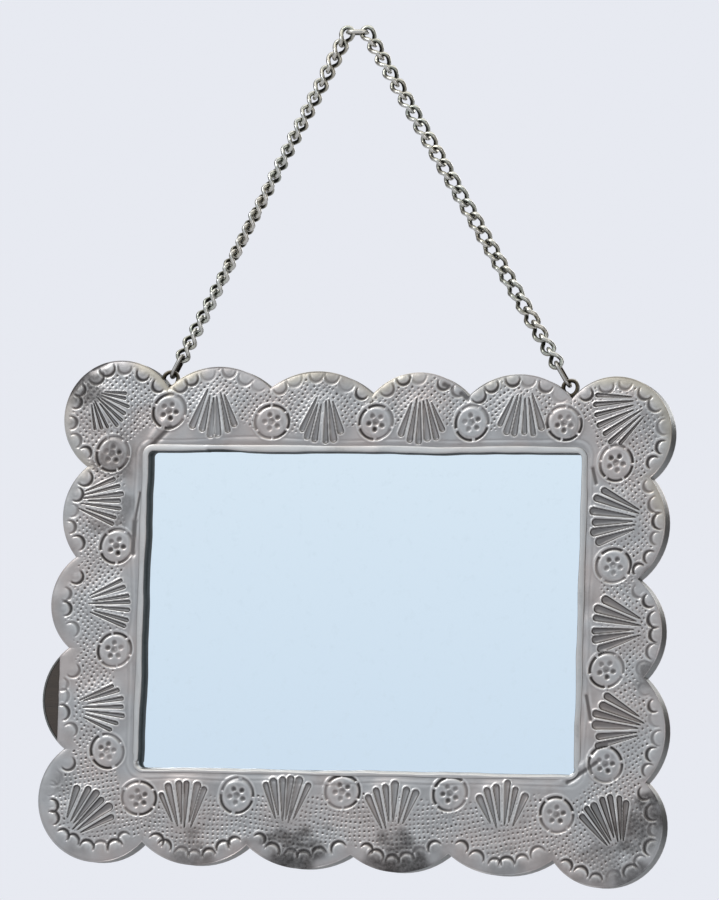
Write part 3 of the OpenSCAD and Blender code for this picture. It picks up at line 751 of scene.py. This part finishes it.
def wire_piece(name, rings, inner, stain_shares, material, body, node):
    """Object of closed wires, darker on the side that faces into each ring, and stained by a share each."""
    count, sides = rings[0].shape[:2]
    ring_faces = grid_faces(count, sides, True, True)[:, ::-1]
    faces = np.vstack([ring_faces + i*count*sides for i in range(len(rings))])
    piece = mesh_object(name, np.concatenate([ring.reshape(-1, 3) for ring in rings])*MM, faces)
    hidden = np.concatenate([values.ravel() for values in inner])
    mark_points(piece, cavity=smooth_step(-0.15, 0.8, hidden), crest=smooth_step(0.3, 0.9, -hidden),
                stain=np.repeat(stain_shares, count*sides))
    piece.data.materials.append(material)
    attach(piece, body)
    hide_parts(node)


around_link, wire_sides, wire_flat = 48, 14, 0.06
chain_silver = old_metal("chain_silver", (0.60, 0.59, 0.50, 1), (0.02, 0.02, 0.015, 1), 0.0001, matte=0.20)
old_brass = old_metal("old_brass", (0.10, 0.08, 0.05, 1), (0.015, 0.012, 0.01, 1), 0.0001)
apex_path = link_path(apex_pitch, 0.0, bend_r, around_link)
apex_ring, apex_inner = wire_round(apex_path, wire_r, wire_sides, wire_flat)
apex_ring = turned(turned(apex_ring, np.pi/2, 0.0), 0.0, np.pi/2) + [apex_pitch/2, 0, wire_r]
wire_piece("chain_apex", [apex_ring], [apex_inner], [0.1], chain_silver,
           "apex_link", "apex_link")

# Shares of the wire's nominal thickness: every twisted link has its own, and the plain ones are worn thin
twisted_wire, plain_wire = (1.045, 1.06), 0.99
link_dice = np.random.default_rng(7)
for k in range(1, links_per_side + 1):
    plain = k == links_per_side
    rings, inner = [], []
    for s in range(2):
        hang = apex_ends[s] + ways[s]*((k - 1)*pitches[s] - hook)
        turn = 90 if plain else np.interp((k - 1)/(links_per_side - 2), *strand_turns[s])
        lean = -np.arctan2(ways[s, 0], -ways[s, 1])
        form = (end_pitches[s], 0.0, bend_r) if plain else (pitches[s], twist, belly[s])
        thick = plain_wire if plain else link_dice.uniform(*twisted_wire)
        ring, inside = wire_round(link_path(*form, around_link), wire_r*thick, wire_sides, wire_flat)
        rings.append(turned(ring, np.radians(turn), lean) + [hang[0], 0, hang[1]])
        inner.append(inside)
    label = f"{k:02d}"
    metal, slot = (old_brass, "loop_brass") if plain else (chain_silver, "chain_silver")
    wire_piece("chain_pair_" + label, rings, inner, link_dice.uniform(0, 0.35, 2), metal,
               "level_" + label, "chain_links_" + label)

# Hanging loops
# Two brass rings, worn out of round, each soldered on a small foot of plate that stands in the first or the
# last notch of the top edge, between the two lobes.
loop_r, around_loop, loop_sides, loop_flat = 2.6, 64, 16, 0.04
foot_thick, foot_gap, foot_half, foot_steps, least_height = 1.1, 0.12, 0.94*loop_r, 25, 0.05


def loop_foot(s):
    """Points and faces of a foot: a plate that fills the notch, from the rims of its two lobes up to the
    middle of the loop's wire."""
    beside = np.array([lobes_across*s - 1, lobes_across*s])
    across = np.linspace(-1, 1, foot_steps)*foot_half
    clear = lobe_radius[beside] + foot_gap
    off = loops[s, 0] + across[:, None] - middle[0] - lobe_centre[beside, 0]
    base = (lobe_centre[beside, 1] + np.sqrt(np.maximum(clear**2 - off**2, 0))).max(1) + middle[1]
    top = loops[s, 1] - np.sqrt(loop_r**2 - across**2)
    stands = top > base + least_height
    x, base, top = loops[s, 0] + across[stands], base[stands], top[stands]
    half = np.full(len(x), foot_thick/2)
    outline = [np.c_[x, -half, base], np.c_[x, -half, top], np.c_[x, half, top], np.c_[x, half, base]]
    end_faces = [[0, 1, 2, 3], [4*len(x) - k for k in (1, 2, 3, 4)]]
    return np.stack(outline, 1).reshape(-1, 3), grid_faces(len(x), 4, wrap_columns=True).tolist() + end_faces


# Each loop, with the share by which one side is worn flat and the way to that side from the top, in radians
for s, (name, worn_share, worn_way) in enumerate((("loop_left", 0.03, 2.2), ("loop_right", 0.09, 1.9))):
    angle = np.arange(around_loop)*2*np.pi/around_loop
    flat_side = 1 - worn_share*smooth_step(0.2, 1.0, np.cos(angle - worn_way))
    loop_radius = loop_r*flat_side*(1 - 0.02*np.cos(3*angle + 1))
    path = np.c_[loop_radius*np.sin(angle), 0.12*np.sin(2*angle), loop_radius*np.cos(angle)]
    ring, inside = wire_round(path, wire_r*(0.98 + 0.02*np.cos(2*angle + 2.5)), loop_sides, loop_flat)
    ring = ring + [loops[s, 0], 0, loops[s, 1]]
    wire_piece("ring_" + name, [ring], [inside], [0.25], old_brass, "frame", name)
    points, faces = loop_foot(s)
    foot = mesh_object("foot_" + name, points*MM, faces, smooth=False)
    foot.data.materials.append(old_brass)
    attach(foot, "frame")
    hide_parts(name)


# Rim band, board, glass, card, plate and pins
# The rest is the CAD's own: a band of sheet soldered round the board, a dark board of old wood, a pane
# silvered behind, grey card, and a plain back plate on pins.
def old_wood():
    """Dark board: long noise bands for the grain, finer noise for the pores."""
    material, tree, shader = new_material("old_wood")
    stretched = add(tree, "ShaderNodeMapping", Vector=object_place(tree), Scale=(6, 40, 60)).outputs["Vector"]
    bands, pores = noise(tree, stretched, 8, 6, 0.6), noise(tree, stretched, 60, 2)
    tone = blend_colors(tree, bands, (0.02, 0.016, 0.014, 1), (0.085, 0.065, 0.05, 1))
    rough = maths(tree, "MULTIPLY_ADD", bands, 0.3, 0.5)
    dress(tree, shader, tone, rough, maths(tree, "ADD", bands, pores), 0.5, 0.0003)
    return material


def grey_card():
    """Pressed card: two sizes of noise in its colour, and the finer one in its bump."""
    material, tree, shader = new_material("grey_card")
    where = object_place(tree)
    fibre, patch = noise(tree, where, 1400, 4, 0.7), noise(tree, where, 40, 3)
    mixed = maths(tree, "MULTIPLY_ADD", fibre, 0.6, maths(tree, "MULTIPLY", patch, 0.4))
    tone = blend_colors(tree, mixed, (0.20, 0.17, 0.13, 1), (0.42, 0.38, 0.31, 1))
    dress(tree, shader, tone, maths(tree, "MULTIPLY_ADD", fibre, 0.2, 0.75), fibre, 0.4, 0.0002)
    return material


def silvered_glass():
    """Mirror: bright metal under a smooth face, with a faint veil of dust and long, slight waves; its
    silvering is a little duller lower down."""
    material, tree, shader = new_material("silvered_glass")
    where = object_place(tree)
    veil = ramp(tree, noise(tree, where, 220, 5, 0.7), 0.55, 0.85, 0, 0.5)
    height = add(tree, "ShaderNodeSeparateXYZ", Vector=where).outputs["Z"]
    lower = ramp(tree, height, -0.145, -0.255)
    clear = blend_colors(tree, lower, (0.90, 0.955, 0.995, 1), (0.81, 0.885, 0.955, 1))
    tone = blend_colors(tree, veil, clear, (0.76, 0.82, 0.86, 1))
    rough = maths(tree, "MULTIPLY_ADD", veil, 0.10, 0.015)
    dress(tree, shader, tone, rough, noise(tree, where, 14, 1), 0.15, 0.0004)
    shader.inputs["Metallic"].default_value = 1.0
    return material


plain_silver = old_metal("plain_silver", (0.50, 0.465, 0.445, 1), (0.07, 0.06, 0.055, 1), 0.00015,
                         marked=False)
# The rim band's silver is painted far darker than the sheet's: painted shade on its flanks
shaded_band_silver = old_metal("shaded_band_silver", (0.17, 0.17, 0.16, 1), (0.03, 0.03, 0.028, 1), 0.00015, marked=False)
pin_steel = old_metal("pin_steel", (0.46, 0.45, 0.44, 1), (0.12, 0.08, 0.06, 1), 0.0001, marked=False)
finishes = {"rim_band": shaded_band_silver, "core_board": old_wood(), "mirror_glass": silvered_glass(),
            "packing_card": grey_card(), "back_plate": plain_silver, "back_pins": pin_steel}
for name, finish in finishes.items():
    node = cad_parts[name]
    node.data.materials.clear()
    node.data.materials.append(finish)
